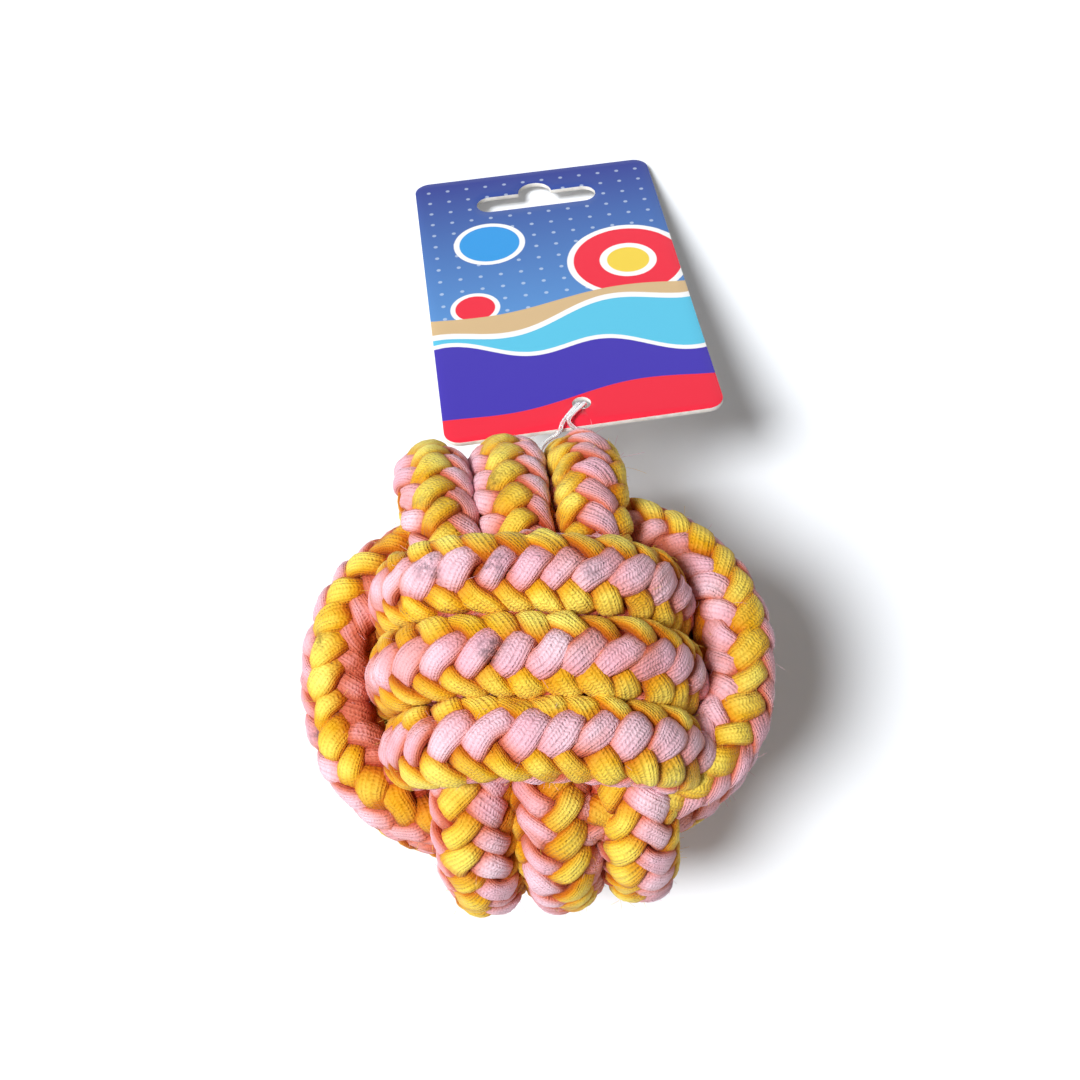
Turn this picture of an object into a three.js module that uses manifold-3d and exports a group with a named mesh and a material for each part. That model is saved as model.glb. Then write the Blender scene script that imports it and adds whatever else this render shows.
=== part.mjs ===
// A rope ball for a dog, tied as a monkey's fist, with a card hang tag on a clear plastic loop.
// Millimetres, +Z up. The ball lies on the floor at z = 0 with its middle above the origin, and the
// tag lies towards +Y with its far edge on the floor.
import * as THREE from 'three';
import { mergeVertices } from 'three/addons/utils/BufferGeometryUtils.js';
import Module from 'manifold-3d';

const wasm = await Module();
wasm.setup();

// Rope
const ropeDiameter = 15.6;
const sidePress = 0.05; // share of its width that a turn loses to the turns beside it
const innerPress = 0.4; // share of its inner half thickness that a turn loses to what it lies on
const outerPress = 0.35; // share of its outer half thickness that it loses under the next winding
const coverGather = 0.1; // share by which the turns draw together under the next winding
const coverStart = 0.55; // sine of the angle round the ball where a turn starts to go under
const coverEnd = 0.95; // sine of the angle where it is fully under

// Windings
const turnsPerWinding = 3;
const tuckedTurn = 0.04; // share of a turn that is left off at each end, under the next winding
const turnGap = 0.5;
const dentGap = 0.4; // between a winding and the dents that it presses into the one under it
const outerTurnDepth = 1.0; // how much lower a turn lies, one turn away from the middle one
const stepsPerTurn = 34;
const finerSteps = 3 * stepsPerTurn; // for measuring
const sidesOfRope = 10;

// The ball in rope diameters, because its size follows from its rope: the reach from its middle to the
// rope's middle where the crosswise winding shows, how much further out the other windings show, and how
// much lower each lies than the winding that covers it
const ballRatio = 2.63;
const lengthwiseOutRatio = 0.077;
const lengthwiseUnderRatio = 0.705;
const crosswiseUnderRatio = 0.75;
const girdleOutRatio = -0.05;
const girdleUnderRatio = 0.814;

// How each winding is squared, and how it lies aside from the ball's middle
const lengthwiseSquareness = 2.5;
const lengthwiseShift = 3.3;
const crosswiseSquareness = 2.9;
const crosswiseShiftRight = 0.6;
const crosswiseShiftUp = -0.6;
const crosswiseTilt = 1.5; // how far it is pushed along at the front, and back at the back
const crosswiseLeanOffset = 0.8; // how far right each turn lies of the turn before it
const crosswiseSideDraw = 2.0; // how much shorter the turns beside the middle one are
const girdleSquareness = 2.3;
const girdleShift = 1.0;

// Core and floor
const coreClearance = 0.3;
const flatShare = 0.1; // depth of the flat that the ball lies on, in rope diameters
const floorClearance = 0.1;

// Tag
const tagWidth = 62;
const tagLength = 104;
const tagThickness = 1.0;
const tagCornerRadius = 4;
const tagHeading = 4.7; // degrees that the tag is turned about the vertical
const holeDiameter = 4.2;
const holeInset = 7; // from the near edge
const holeReach = 10.1; // from the rope's outer face
const holeOffset = 2.6; // from the middle of the turn that carries the loop
const holeDrop = 1.8; // below the ball's middle
const slotLength = 31;
const slotHeight = 6.8;
const slotArchRadius = 4.3;
const slotInset = 13.3; // from the far edge to the slot's middle

// Loop
const carrierTurn = 0.75; // the place, in turns, on the lengthwise winding that carries the loop
const strandDiameter = 0.95;
const strandSpacing = 1.3;
const channelDepth = 2.5; // below the rope's outer face
const channelClearance = 0.4;
const crossbarDiameter = 1.8;
const crossbarLength = 6.4;
const strandClearance = 0.5;

// Derived sizes
const ropeRadius = ropeDiameter / 2;
const wrappedWidth = ropeDiameter * (1 - sidePress);
const turnSpacing = wrappedWidth + turnGap;
const crosswiseReach = ballRatio * ropeDiameter;
const lengthwiseReach = crosswiseReach + lengthwiseOutRatio * ropeDiameter;
const girdleReach = crosswiseReach + girdleOutRatio * ropeDiameter;

const windings = [
  {
    name: 'lengthwise_wraps',
    color: '#e3a6b6',
    shownReach: lengthwiseReach,
    coveredReach: crosswiseReach - lengthwiseUnderRatio * ropeDiameter,
    squareness: lengthwiseSquareness,
    tilt: 0,
    lean: 0,
    sideDraw: 0,
    startAngle: -Math.PI / 2,
    advance: 1,
    toBall: (along, shown, covered) => new THREE.Vector3(along, shown, covered),
    shift: new THREE.Vector3(0, lengthwiseShift, 0),
  },
  {
    name: 'crosswise_wraps',
    color: '#f0c02c',
    shownReach: crosswiseReach,
    coveredReach: girdleReach - crosswiseUnderRatio * ropeDiameter,
    squareness: crosswiseSquareness,
    tilt: crosswiseTilt,
    lean: crosswiseLeanOffset,
    sideDraw: crosswiseSideDraw,
    startAngle: Math.PI / 2,
    advance: -1,
    toBall: (along, shown, covered) => new THREE.Vector3(covered, along, shown),
    shift: new THREE.Vector3(crosswiseShiftRight, crosswiseShiftUp, 0),
  },
  {
    name: 'girdle_wraps',
    color: '#e8b0a0',
    shownReach: girdleReach,
    coveredReach: lengthwiseReach - girdleUnderRatio * ropeDiameter,
    squareness: girdleSquareness,
    tilt: 0,
    lean: 0,
    sideDraw: 0,
    startAngle: -Math.PI / 2,
    advance: -1,
    toBall: (along, shown, covered) => new THREE.Vector3(shown, covered, along),
    shift: new THREE.Vector3(girdleShift, 0, 0),
  },
];
const [lengthwise, crosswise, girdle] = windings;

// Angle round the ball, counted from the middle of the side where the winding shows.
function angleAt(winding, turn) {
  return 2 * Math.PI * (turn + turnsPerWinding / 2) + winding.startAngle;
}

// 0 where a turn shows, 1 where the next winding covers it.
function coverAt(winding, turn) {
  const sine = Math.abs(Math.sin(angleAt(winding, turn)));
  return THREE.MathUtils.smoothstep(sine, coverStart, coverEnd);
}

// The rope's middle: a squared ellipse round the ball that moves one turn spacing along in each turn.
function ropeMiddle(winding, turn) {
  const angle = angleAt(winding, turn);
  const shownReach = winding.shownReach - outerTurnDepth * turn ** 2;
  const sideShare = Math.sin((Math.PI * turn) / 2) ** 2;
  const coveredReach = winding.coveredReach - winding.sideDraw * sideShare;
  const power = winding.squareness;
  const shownPart = Math.abs(Math.cos(angle) / shownReach) ** power;
  const coveredPart = Math.abs(Math.sin(angle) / coveredReach) ** power;
  const reach = (shownPart + coveredPart) ** (-1 / power);
  const gather = 1 - coverGather * coverAt(winding, turn);
  const along = winding.advance * turnSpacing * turn * gather + winding.tilt * Math.cos(angle);
  const covered = reach * Math.sin(angle) + winding.lean * turn;
  return winding.toBall(along, reach * Math.cos(angle), covered).add(winding.shift);
}

// The rope at one place: its middle, its directions and its half sizes.
function ropeStation(winding, turn) {
  const smallTurn = 0.5 / finerSteps;
  const middle = ropeMiddle(winding, turn);
  const ahead = ropeMiddle(winding, turn + smallTurn);
  const behind = ropeMiddle(winding, turn - smallTurn);
  const tangent = ahead.sub(behind).normalize();
  const alongAxis = winding.toBall(1, 0, 0);
  const outward = new THREE.Vector3().crossVectors(tangent, alongAxis).normalize();
  const sideways = new THREE.Vector3().crossVectors(outward, tangent);
  const cover = coverAt(winding, turn);
  return {
    turn,
    middle,
    tangent,
    outward,
    sideways,
    halfWidth: (wrappedWidth / 2) * (1 - coverGather * cover),
    outerHalf: ropeRadius * (1 - outerPress * cover),
    innerHalf: ropeRadius * (1 - innerPress),
  };
}

function ropeStations(winding, steps, margin = 0) {
  const lengthOfTurn = 2 * Math.PI * winding.coveredReach;
  const lastTurn = turnsPerWinding / 2 - tuckedTurn + margin / lengthOfTurn;
  const count = Math.round(2 * lastTurn * steps);
  const turns = Array.from({ length: count + 1 }, (_, i) => lastTurn * ((2 * i) / count - 1));
  return turns.map((turn) => ropeStation(winding, turn));
}

// Points round the rope at one station, or a margin outside it: round outside, flatter inside.
function ropeRing(station, margin = 0) {
  const points = [];
  for (let i = 0; i < sidesOfRope; i += 1) {
    const angle = (2 * Math.PI * (i + 0.5)) / sidesOfRope;
    const across = (station.halfWidth + margin) * Math.cos(angle);
    const half = angle < Math.PI ? station.outerHalf : station.innerHalf;
    const point = station.middle.clone();
    point.addScaledVector(station.sideways, across);
    point.addScaledVector(station.outward, (half + margin) * Math.sin(angle));
    points.push(point);
  }
  return points;
}

function nearestStation(point, stations, ownTurn) {
  const halfTurn = 0.5;
  let nearest = null;
  let leastSquare = Infinity;
  for (const station of stations) {
    const square = point.distanceToSquared(station.middle);
    if (square < leastSquare && Math.abs(station.turn - ownTurn) > halfTurn) {
      leastSquare = square;
      nearest = station;
    }
  }
  return nearest;
}

// Least gap from the skin of a winding to the skin of its own turns beside it.
function leastOwnGap(winding) {
  const otherStations = ropeStations(winding, finerSteps);
  const offset = new THREE.Vector3();
  let least = Infinity;
  for (const skinStation of ropeStations(winding, stepsPerTurn)) {
    for (const point of ropeRing(skinStation)) {
      const other = nearestStation(point, otherStations, skinStation.turn);
      offset.subVectors(point, other.middle);
      const across = offset.dot(other.sideways);
      const out = offset.dot(other.outward);
      const half = out > 0 ? other.outerHalf : other.innerHalf;
      const skinShare = Math.hypot(across / other.halfWidth, out / half);
      least = Math.min(least, Math.hypot(across, out) * (1 - 1 / skinShare));
    }
  }
  return least;
}

// Joins rings of points into one closed skin, with a fan of triangles on each end.
function skinGeometry(rings) {
  const sides = rings[0].length;
  const points = rings.flat();
  const faces = [];
  for (let ring = 0; ring + 1 < rings.length; ring += 1) {
    for (let side = 0; side < sides; side += 1) {
      const a = ring * sides + side;
      const b = ring * sides + ((side + 1) % sides);
      faces.push(a, b, b + sides, a, b + sides, a + sides);
    }
  }
  const last = points.length - sides;
  for (let side = 1; side + 1 < sides; side += 1) {
    faces.push(0, side + 1, side);
    faces.push(last, last + side, last + side + 1);
  }
  const geometry = new THREE.BufferGeometry().setFromPoints(points);
  geometry.setIndex(faces);
  return geometry;
}

function toSolid(geometry) {
  const bare = geometry.clone();
  bare.deleteAttribute('normal');
  bare.deleteAttribute('uv');
  const merged = mergeVertices(bare);
  const vertProperties = Float32Array.from(merged.attributes.position.array);
  const triVerts = Uint32Array.from(merged.index.array);
  return new wasm.Manifold(new wasm.Mesh({ numProp: 3, vertProperties, triVerts }));
}

function toGeometry(solid) {
  const { vertProperties, triVerts } = solid.getMesh();
  const geometry = new THREE.BufferGeometry();
  geometry.setAttribute('position', new THREE.BufferAttribute(vertProperties, 3));
  geometry.setIndex(new THREE.BufferAttribute(triVerts, 1));
  return geometry;
}

function makeMesh(name, geometry, color, roughness) {
  const material = new THREE.MeshStandardMaterial({ color, roughness, metalness: 0 });
  const mesh = new THREE.Mesh(geometry, material);
  mesh.name = name;
  return mesh;
}

// The ball, about its own middle
const ballHeight = crosswise.shownReach + ropeRadius - flatShare * ropeDiameter;

function windingSolid(winding, margin = 0) {
  const stations = ropeStations(winding, stepsPerTurn, margin);
  const rings = stations.map((station) => ropeRing(station, margin));
  return toSolid(skinGeometry(rings));
}

// A winding with the dents that the winding round it presses into it.
function dentedSolid(winding, covering) {
  console.log(`${winding.name}: least gap to itself ${leastOwnGap(winding).toFixed(2)} mm`);
  return windingSolid(winding).subtract(windingSolid(covering, dentGap));
}

// The winding that the ball lies on is cut flat where it meets the floor.
function crosswiseGeometry() {
  const blockSize = 4 * crosswise.shownReach;
  const block = new THREE.BoxGeometry(blockSize, blockSize, blockSize);
  block.translate(0, 0, -ballHeight - blockSize / 2);
  return toGeometry(dentedSolid(crosswise, girdle).subtract(toSolid(block)));
}

function girdleGeometry() {
  return toGeometry(dentedSolid(girdle, lengthwise));
}

function coreGeometry() {
  const stations = windings.flatMap((winding) => ropeStations(winding, stepsPerTurn));
  const skin = stations.flatMap((station) => ropeRing(station));
  const room = Math.min(...skin.map((point) => point.length()));
  const radius = room - coreClearance;
  return new THREE.IcosahedronGeometry(radius, 4);
}

// Where the loop goes through the rope: a straight channel across the outer part of the right-hand turn
const carrier = ropeStation(lengthwise, carrierTurn);

function onCarrier(across, out, up) {
  const point = carrier.middle.clone();
  point.addScaledVector(carrier.sideways, across);
  point.addScaledVector(carrier.outward, out);
  return point.addScaledVector(carrier.tangent, up);
}

const channelOut = carrier.outerHalf - channelDepth;
const channelHalf = carrier.halfWidth * Math.sqrt(1 - (channelOut / carrier.outerHalf) ** 2);

function lengthwiseGeometry() {
  const radius = strandDiameter / 2 + channelClearance;
  const channel = new THREE.CylinderGeometry(radius, radius, 4 * channelHalf, 8);
  const upright = new THREE.Vector3(0, 1, 0);
  channel.applyQuaternion(new THREE.Quaternion().setFromUnitVectors(upright, carrier.sideways));
  channel.translate(...onCarrier(0, channelOut, 0).toArray());
  return toGeometry(dentedSolid(lengthwise, crosswise).subtract(toSolid(channel)));
}

// The tag, about the middle of its hole: +Y towards the far edge, +Z out of its front
const tagReach = tagLength - holeInset;

function roundedRectangle(shape, left, bottom, right, top, radius) {
  shape.moveTo(left + radius, bottom);
  shape.lineTo(right - radius, bottom);
  shape.absarc(right - radius, bottom + radius, radius, -Math.PI / 2, 0, false);
  shape.lineTo(right, top - radius);
  shape.absarc(right - radius, top - radius, radius, 0, Math.PI / 2, false);
  shape.lineTo(left + radius, top);
  shape.absarc(left + radius, top - radius, radius, Math.PI / 2, Math.PI, false);
  shape.lineTo(left, bottom + radius);
  shape.absarc(left + radius, bottom + radius, radius, Math.PI, 1.5 * Math.PI, false);
  return shape;
}

// A hook slot: a long slot with round ends, and an arch in the middle of its far side.
function hookSlot() {
  const slot = new THREE.Path();
  const middle = tagReach - slotInset;
  const endRadius = slotHeight / 2;
  const endAt = slotLength / 2 - endRadius;
  slot.moveTo(-endAt, middle - endRadius);
  slot.lineTo(endAt, middle - endRadius);
  slot.absarc(endAt, middle, endRadius, -Math.PI / 2, Math.PI / 2, false);
  slot.lineTo(slotArchRadius, middle + endRadius);
  slot.absarc(0, middle + endRadius, slotArchRadius, 0, Math.PI, false);
  slot.lineTo(-endAt, middle + endRadius);
  slot.absarc(-endAt, middle, endRadius, Math.PI / 2, 1.5 * Math.PI, false);
  return slot;
}

function tagGeometry() {
  const side = tagWidth / 2;
  const outline = roundedRectangle(new THREE.Shape(), -side, -holeInset, side, tagReach, tagCornerRadius);
  const hole = new THREE.Path().absarc(0, 0, holeDiameter / 2, 0, 2 * Math.PI, false);
  outline.holes.push(hookSlot(), hole);
  const options = { depth: tagThickness, bevelEnabled: false, curveSegments: 8 };
  return new THREE.ExtrudeGeometry(outline, options).translate(0, 0, -tagThickness / 2);
}

const holeMiddle = onCarrier(holeOffset, carrier.outerHalf + holeReach, 0).setZ(-holeDrop);

// The tilt that brings the far edge of the tag's back down to the floor.
function tagTilt() {
  const drop = ballHeight + holeMiddle.z - floorClearance;
  const toBackEdge = Math.hypot(tagReach, tagThickness / 2);
  return Math.asin(drop / toBackEdge) - Math.atan2(tagThickness / 2, tagReach);
}

const tagTurned = new THREE.Group();
tagTurned.position.copy(holeMiddle);
tagTurned.rotation.set(-tagTilt(), 0, THREE.MathUtils.degToRad(tagHeading), 'ZYX');
tagTurned.add(makeMesh('hang_tag', tagGeometry(), '#2f6fc4', 0.35));
tagTurned.updateMatrixWorld();

function onTag(aside, far, front) {
  return tagTurned.localToWorld(new THREE.Vector3(aside, far, front));
}

// The loop: two strands that come out of the tag's hole side by side, run over the tag's near edge and
// meet through the channel in the rope. Behind the tag a crossbar joins their ends.
const strandRadius = strandDiameter / 2;
const strandFar = -(holeDiameter / 2 - strandRadius - strandClearance);
const crossbarFront = -(tagThickness / 2 + strandClearance + crossbarDiameter / 2);
const frontOfTag = tagThickness / 2 + strandClearance + strandRadius;

function strandOnTag(side) {
  const aside = (side * strandSpacing) / 2;
  return [
    onTag(aside, strandFar, crossbarFront),
    onTag(aside, strandFar, tagThickness / 2),
    onTag(aside - 0.2, strandFar - 0.4, frontOfTag + 0.1),
    onTag(aside - 1.2, strandFar - 1.6, frontOfTag + 0.3),
    onTag(aside - 4.4, -holeInset, frontOfTag + 0.2),
  ];
}

function loopCurve() {
  const points = [
    ...strandOnTag(-1),
    onCarrier(-channelHalf + 2.2, channelOut + 4.7, 1.5),
    onCarrier(-channelHalf - 0.4, channelOut + 3.3, 0.6),
    onCarrier(-channelHalf - 1.6, channelOut + 1.4, 0.1),
    onCarrier(-channelHalf - 1, channelOut, 0),
    onCarrier(-channelHalf, channelOut, 0),
    onCarrier(channelHalf, channelOut, 0),
    onCarrier(channelHalf + 1, channelOut, 0),
    onCarrier(channelHalf + 1.6, channelOut + 1.4, 0.1),
    onCarrier(channelHalf + 0.2, channelOut + 3.4, 0.5),
    onCarrier(channelHalf - 3.6, channelOut + 4.9, 1.4),
    ...strandOnTag(1).reverse(),
  ];
  return new THREE.CatmullRomCurve3(points, false, 'centripetal');
}

function loopGeometry() {
  const section = new THREE.Shape().absarc(0, 0, strandRadius, 0, 2 * Math.PI, false);
  const options = { steps: 64, extrudePath: loopCurve(), curveSegments: 4, bevelEnabled: false };
  const strand = toSolid(new THREE.ExtrudeGeometry(section, options));
  const radius = crossbarDiameter / 2;
  const crossbar = new THREE.CylinderGeometry(radius, radius, crossbarLength, 12);
  crossbar.rotateZ(Math.PI / 2).translate(0, strandFar, crossbarFront);
  return toGeometry(strand.add(toSolid(crossbar.applyMatrix4(tagTurned.matrixWorld))));
}

const part = new THREE.Group();
part.position.z = ballHeight;
part.add(makeMesh(lengthwise.name, lengthwiseGeometry(), lengthwise.color, 0.9));
part.add(makeMesh(crosswise.name, crosswiseGeometry(), crosswise.color, 0.9));
part.add(makeMesh(girdle.name, girdleGeometry(), girdle.color, 0.9));
part.add(makeMesh('core_ball', coreGeometry(), '#b9a58c', 0.9));
part.add(makeMesh('tag_loop', loopGeometry(), '#f2f4f5', 0.2));
part.add(tagTurned);

export default part;
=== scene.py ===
import math

import bpy
import numpy as np
from mathutils import Matrix, Vector
from mathutils.geometry import delaunay_2d_cdt


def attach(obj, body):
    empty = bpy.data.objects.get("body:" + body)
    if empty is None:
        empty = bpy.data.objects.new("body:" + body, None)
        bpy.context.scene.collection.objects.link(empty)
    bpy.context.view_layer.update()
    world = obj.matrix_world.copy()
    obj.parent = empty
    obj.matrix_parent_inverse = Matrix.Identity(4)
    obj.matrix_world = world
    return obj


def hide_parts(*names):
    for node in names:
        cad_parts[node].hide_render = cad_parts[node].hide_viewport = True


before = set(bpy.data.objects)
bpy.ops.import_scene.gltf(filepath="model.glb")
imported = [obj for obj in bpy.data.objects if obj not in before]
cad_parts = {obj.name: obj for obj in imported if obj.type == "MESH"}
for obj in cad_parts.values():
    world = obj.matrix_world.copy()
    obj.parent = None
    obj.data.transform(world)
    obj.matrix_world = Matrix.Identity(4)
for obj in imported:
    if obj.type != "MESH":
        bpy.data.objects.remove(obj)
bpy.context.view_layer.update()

MM = 0.001  # shapes are worked out in millimetres and stored in metres

# Camera: a 50 mm lens above the ball and a little towards its near end
LENS_MM = 50
SENSOR_MM = 36
CAMERA_PLACE = (-0.00225, -0.0643, 0.3532)
VIEW_FORWARD = (0.0167, 0.2988, -0.9541)
VIEW_RIGHT = (0.9984, -0.0558, 0)


def add_camera():
    """Camera whose columns are right, up and backwards."""
    forward = Vector(VIEW_FORWARD).normalized()
    right = Vector(VIEW_RIGHT).normalized()
    up = right.cross(forward)
    data = bpy.data.cameras.new("camera")
    data.lens = LENS_MM
    data.sensor_width = SENSOR_MM
    camera = bpy.data.objects.new("camera", data)
    turned = Matrix((right, up, -forward)).transposed().to_4x4()
    camera.matrix_world = Matrix.Translation(CAMERA_PLACE) @ turned
    bpy.context.collection.objects.link(camera)
    bpy.context.scene.camera = camera


add_camera()
bpy.context.scene.view_settings.view_transform = "Standard"


# Colours, meshes and nodes
def linear(hex_colour):
    """Turns an sRGB hex colour into linear RGBA."""
    parts = [int(hex_colour[i:i + 2], 16) / 255 for i in (1, 3, 5)]
    lights = [p / 12.92 if p <= 0.04045 else ((p + 0.055) / 1.055) ** 2.4 for p in parts]
    return (*lights, 1)


def add_node(tree, kind, inputs=None, **settings):
    """Adds a node with its property settings; inputs are values or output sockets by input name or number."""
    node = tree.nodes.new(kind)
    for name, value in settings.items():
        setattr(node, name, value)
    for name, value in (inputs or {}).items():
        if isinstance(value, bpy.types.NodeSocket):
            tree.links.new(value, node.inputs[name])
        else:
            node.inputs[name].default_value = value
    return node


def noise_scale(size_mm):
    """Scale of a noise whose lumps are about this wide, on coordinates in metres."""
    return 1 / (size_mm * MM)


def new_material(name):
    """An empty material and its node tree."""
    material = bpy.data.materials.new(name)
    material.use_nodes = True
    material.node_tree.nodes.clear()
    return material, material.node_tree


def make_piece(name, points, faces, materials, uv=None, crevice=None):
    """Puts points in millimetres and lists of point numbers into a smooth mesh.

    uv has one pair for each corner, and crevice one value for each point, 0 on top and 1 deep down.
    """
    mesh = bpy.data.meshes.new(name)
    mesh.from_pydata((np.asarray(points) * MM).tolist(), [], faces)
    if uv is not None:
        layer = mesh.uv_layers.new(name="surface_mm")
        layer.data.foreach_set("uv", np.asarray(uv, dtype=np.float32).ravel())
    if crevice is not None:
        values = mesh.attributes.new("crevice", "FLOAT", "POINT")
        values.data.foreach_set("value", np.asarray(crevice, dtype=np.float32).ravel())
    mesh.shade_smooth()
    for material in materials:
        mesh.materials.append(material)
    piece = bpy.data.objects.new(name, mesh)
    bpy.context.collection.objects.link(piece)
    return piece


def unit(vectors):
    """Vectors divided by their own lengths."""
    return vectors / np.linalg.norm(vectors, axis=-1, keepdims=True)


def smoothstep(value, start, end):
    """0 before the start, 1 after the end, and between them three squares less two cubes of the share."""
    share = np.clip((value - start) / (end - start), 0, 1)
    return share * share * (3 - 2 * share)


def tube_faces(tubes, rings, sides):
    """Quads between the rings of several tubes, and one face on each end of each tube."""
    tube, ring, side = np.meshgrid(np.arange(tubes), np.arange(rings - 1), np.arange(sides), indexing="ij")
    first = (tube * rings + ring) * sides
    next_side = (side + 1) % sides
    quads = np.stack([
        first + side, first + next_side, first + sides + next_side, first + sides + side,
    ], axis=-1)
    starts = np.arange(tubes)[:, None] * rings * sides
    near_caps = starts + np.arange(sides)[::-1]
    far_caps = starts + (rings - 1) * sides + np.arange(sides)
    return quads.reshape(-1, 4).tolist() + near_caps.tolist() + far_caps.tolist()


def tube_uv(along, around, sides):
    """Surface place in millimetres at each corner of tube_faces: along the tube, then around it."""
    tubes, rings = along.shape
    shape = (tubes, rings - 1, sides)
    step = around / sides
    side_start = np.broadcast_to(np.arange(sides) * step, shape)
    ring_start = np.broadcast_to(along[:, :-1, None], shape)
    ring_end = np.broadcast_to(along[:, 1:, None], shape)
    corners = np.stack([
        np.stack([ring_start, side_start], axis=-1),
        np.stack([ring_start, side_start + step], axis=-1),
        np.stack([ring_end, side_start + step], axis=-1),
        np.stack([ring_end, side_start], axis=-1),
    ], axis=-2)
    caps = np.zeros((2 * tubes * sides, 2))
    return np.concatenate([corners.reshape(-1, 2), caps])


def round_tubes(paths, radius, square_to, sides):
    """Rings round paths that hardly twist: each starts from one fixed direction made square to the path."""
    tangent = unit(np.gradient(paths, axis=-2))
    across = unit(np.cross(tangent, square_to))
    up = np.cross(across, tangent)
    ring = 2 * np.pi * np.arange(sides) / sides
    offsets = np.cos(ring)[:, None] * across[..., None, :] + np.sin(ring)[:, None] * up[..., None, :]
    return paths[..., None, :] + radius * offsets


# The rope's windings: sizes as in the solids, in millimetres, but the soft turns press on each other
ROPE_DIAMETER = 15.6
ROPE_RADIUS = ROPE_DIAMETER / 2
WRAPPED_HALF_WIDTH = 7.86
SOLID_HALF_WIDTH = 7.41  # half width of a turn in the solids, which the loop's channel follows
TURN_SPACING = 15.32
CROSSWISE_REACH = 2.63 * ROPE_DIAMETER
LENGTHWISE_REACH = CROSSWISE_REACH + 0.077 * ROPE_DIAMETER
GIRDLE_REACH = CROSSWISE_REACH - 0.05 * ROPE_DIAMETER
TURNS = 3
TUCKED_TURN = 0.04  # share of a turn at each end of a winding that is tucked in and left out
OUTER_TURN_DEPTH = 1.0  # how much deeper the outer turns lie than the middle one
COVER_START = 0.55  # sine of the angle at which the next winding starts to cover a turn
COVER_END = 0.95
COVER_GATHER = 0.1  # share by which covered turns are drawn together
OUTER_PRESS = 0.35  # share by which the winding on top flattens a covered turn
SLACK_START = 12.0  # the turns are slack towards the tag, so the rope is rounder there
SLACK_END = 28.0
FLAT_DEPTH = 0.1 * ROPE_DIAMETER
BALL_HEIGHT = CROSSWISE_REACH + ROPE_RADIUS - FLAT_DEPTH
# For each winding, shown and covered are its reach where it shows and where it is covered, squareness is the
# power of its path, start is in degrees, and advance is the way it goes. Tilt, lean and side_draw move its
# turns, and axes are along it, shown and covered. Roll turns the braid by so many degrees at roll_turns.
WINDINGS = {
    "lengthwise_wraps": {
        "shown": LENGTHWISE_REACH, "covered": CROSSWISE_REACH - 0.705 * ROPE_DIAMETER, "squareness": 2.5,
        "start": -90, "advance": 1, "tilt": 0, "lean": 0, "side_draw": 0,
        "axes": (0, 1, 2), "shift": (0, 3.3, 0), "slot": "rope_pink_yellow",
        "inner_press": 0.4, "gap_shade": 0.3,
        "roll_turns": (-1.25, -0.75, -0.25, 0.25, 0.75, 1.25), "roll": (60, 30, 40, 90, 130, 150),
    },
    "crosswise_wraps": {
        "shown": CROSSWISE_REACH, "covered": GIRDLE_REACH - 0.75 * ROPE_DIAMETER, "squareness": 2.9,
        "start": 90, "advance": -1, "tilt": 1.5, "lean": 0.8, "side_draw": 2.0,
        "axes": (1, 2, 0), "shift": (0.6, -0.6, 0), "slot": "rope_yellow_pink",
        "inner_press": 0.4, "gap_shade": 0.25,
        "roll_turns": (-0.75, 0.25, 1.25), "roll": (-3, -9, 2),
    },
    "girdle_wraps": {
        "shown": GIRDLE_REACH, "covered": LENGTHWISE_REACH - 0.814 * ROPE_DIAMETER, "squareness": 2.3,
        "start": -90, "advance": -1, "tilt": 0, "lean": 0, "side_draw": 0,
        "axes": (2, 0, 1), "shift": (1.0, 0, 0), "slot": "rope_mixed",
        "inner_press": 0.05, "gap_shade": 0.6,
        "roll_turns": (-1.25, -1.1, -0.75, 1.5), "roll": (10, -30, 10, 40),
    },
}


def angle_at(winding, turn):
    """Angle round the ball in radians: a full circle in each turn, from the start angle."""
    return 2 * np.pi * (turn + TURNS / 2) + math.radians(winding["start"])


def cover_at(winding, turn):
    """0 where a turn shows, 1 where the next winding covers it."""
    return smoothstep(np.abs(np.sin(angle_at(winding, turn))), COVER_START, COVER_END)


def rope_middle(winding, turn):
    """A squared ellipse round the ball that moves one spacing sideways in each turn.

    Its reach is one over the root of the sum of two powers: cosine over shown, and sine over covered reach.
    """
    angle = angle_at(winding, turn)
    shown = winding["shown"] - OUTER_TURN_DEPTH * turn ** 2
    covered = winding["covered"] - winding["side_draw"] * np.sin(np.pi * turn / 2) ** 2
    power = winding["squareness"]
    shown_part = np.abs(np.cos(angle) / shown) ** power
    covered_part = np.abs(np.sin(angle) / covered) ** power
    reach = (shown_part + covered_part) ** (-1 / power)
    gather = 1 - COVER_GATHER * cover_at(winding, turn)
    along_axis, shown_axis, covered_axis = winding["axes"]
    middle = np.empty((len(turn), 3))
    sideways = winding["advance"] * TURN_SPACING * turn * gather
    middle[:, along_axis] = sideways + winding["tilt"] * np.cos(angle)
    middle[:, shown_axis] = reach * np.cos(angle)
    middle[:, covered_axis] = reach * np.sin(angle) + winding["lean"] * turn
    return middle + np.array(winding["shift"]) + (0, 0, BALL_HEIGHT)


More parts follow.
